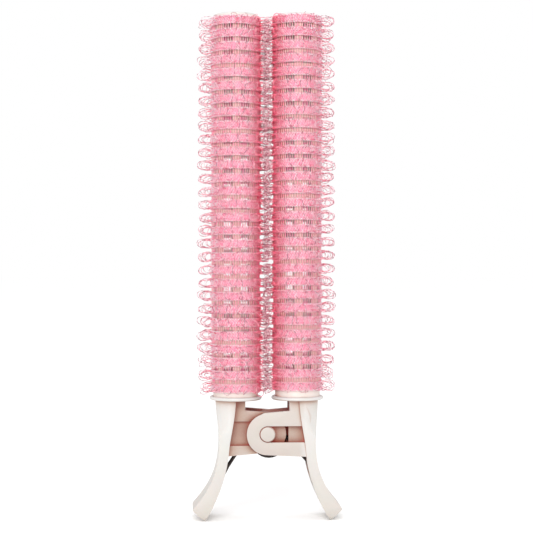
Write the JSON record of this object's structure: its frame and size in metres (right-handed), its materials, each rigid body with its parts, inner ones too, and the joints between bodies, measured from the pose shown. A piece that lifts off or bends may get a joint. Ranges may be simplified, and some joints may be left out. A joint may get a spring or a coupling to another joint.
{
  "type": "hair roller",
  "caption": "Twin self-grip hair roller clip: net-covered rollers on spring-loaded levers that open when their handles are squeezed.",
  "frame": {"origin": "midway between the two handles, on the surface that their tips stand on", "axes": "+X from the left roller to the right one, +Y along the hinge pins to the back, +Z along the closed rollers from the handles to their ends"},
  "size_m": [0.0492, 0.0256, 0.1672],
  "materials": {
    "plastic": "satin blush ivory moulding",
    "core_plastic": "plain blush ivory moulding",
    "hook_net": "knitted pink net with clear monofilament hooks",
    "spring_steel": "dark drawn wire"
  },
  "bodies": {
    "left_half": {"left_lever": "plastic", "left_core": "core_plastic", "left_hook_net": "hook_net", "left_end_cap": "plastic", "torsion_spring": "spring_steel"},
    "right_half": {"right_lever": "plastic", "right_core": "core_plastic", "right_hook_net": "hook_net", "right_end_cap": "plastic"}
  },
  "joints": [
    {"name": "clip_hinge", "type": "hinge", "parent": "left_half", "child": "right_half", "pos_m": [0, 0, 0.0284], "axis": [0, 1, 0], "range_deg": [0, 50], "stiffness_Nm_per_rad": 0.12, "springref_deg": -45.84, "deforming": ["torsion_spring"]}
  ]
}
